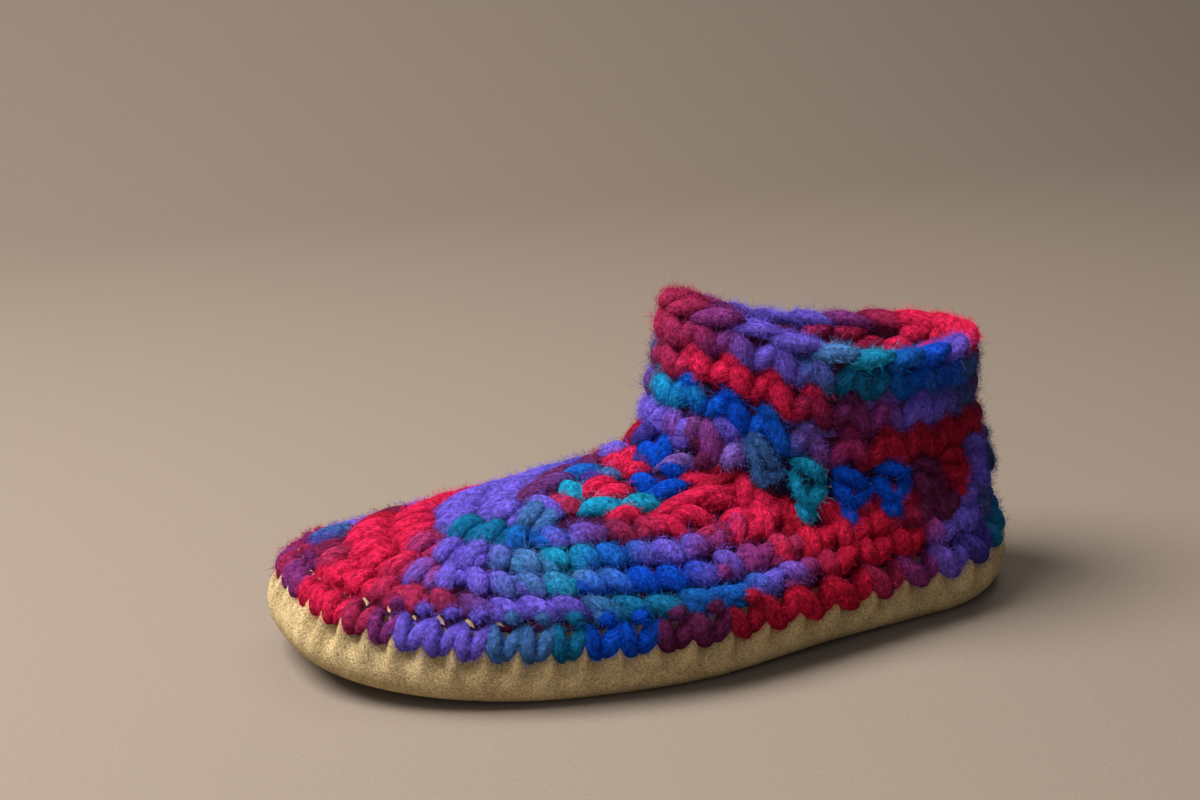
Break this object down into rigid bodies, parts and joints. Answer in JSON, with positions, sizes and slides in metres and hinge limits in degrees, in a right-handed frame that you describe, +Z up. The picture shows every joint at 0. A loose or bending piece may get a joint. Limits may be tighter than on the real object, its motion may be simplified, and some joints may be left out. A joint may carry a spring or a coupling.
{
  "type": "slipper",
  "caption": "Crocheted wool ankle slipper for the left foot, in variegated yarn, bound to a soft turned-up suede sole.",
  "frame": {"origin": "centre of the slipper's bounding box on the floor plane under its sole", "axes": "+X from heel to toe, +Y to the wearer's left, +Z up"},
  "size_m": [0.2516, 0.1192, 0.1077],
  "materials": {
    "suede": "napped suede",
    "felt": "matt felt",
    "yarn": "fuzzy variegated wool"
  },
  "bodies": {
    "root": {"sole": "suede", "insole": "felt", "upper": "yarn", "binding_round": "yarn", "collar_chain": "yarn"}
  },
  "joints": []
}
